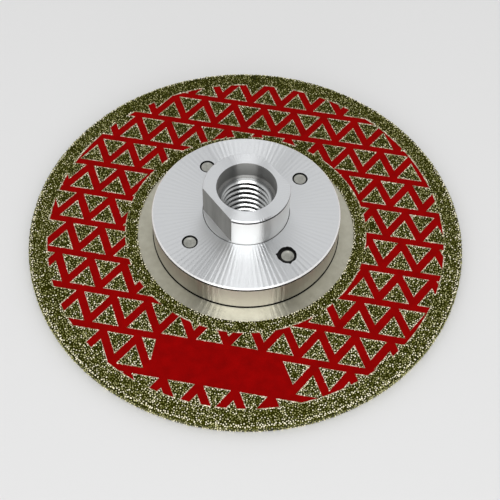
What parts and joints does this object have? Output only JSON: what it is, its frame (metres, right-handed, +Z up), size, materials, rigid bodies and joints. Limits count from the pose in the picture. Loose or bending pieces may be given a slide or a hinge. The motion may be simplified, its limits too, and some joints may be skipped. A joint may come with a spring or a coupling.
{
  "type": "electroplated diamond disc",
  "caption": "Flat round cutting and grinding disc with grit islands between red strips, screwed to a threaded metal flange with a hub.",
  "frame": {"origin": "centre of the back face on the bore's axis", "axes": "+Z up the bore's axis from the back face to the hub's mouth"},
  "size_m": [0.115, 0.115, 0.0202],
  "materials": {
    "plated_steel": "nickel and diamond grit on steel",
    "red_lacquer": "satin stop-off lacquer",
    "turned_aluminium": "turned",
    "screw_steel": "zinc plated"
  },
  "bodies": {
    "root": {"plated_disc": "plated_steel", "flange": "turned_aluminium", "countersunk_screw_1": "screw_steel", "countersunk_screw_2": "screw_steel", "countersunk_screw_3": "screw_steel", "countersunk_screw_4": "screw_steel"}
  },
  "joints": []
}
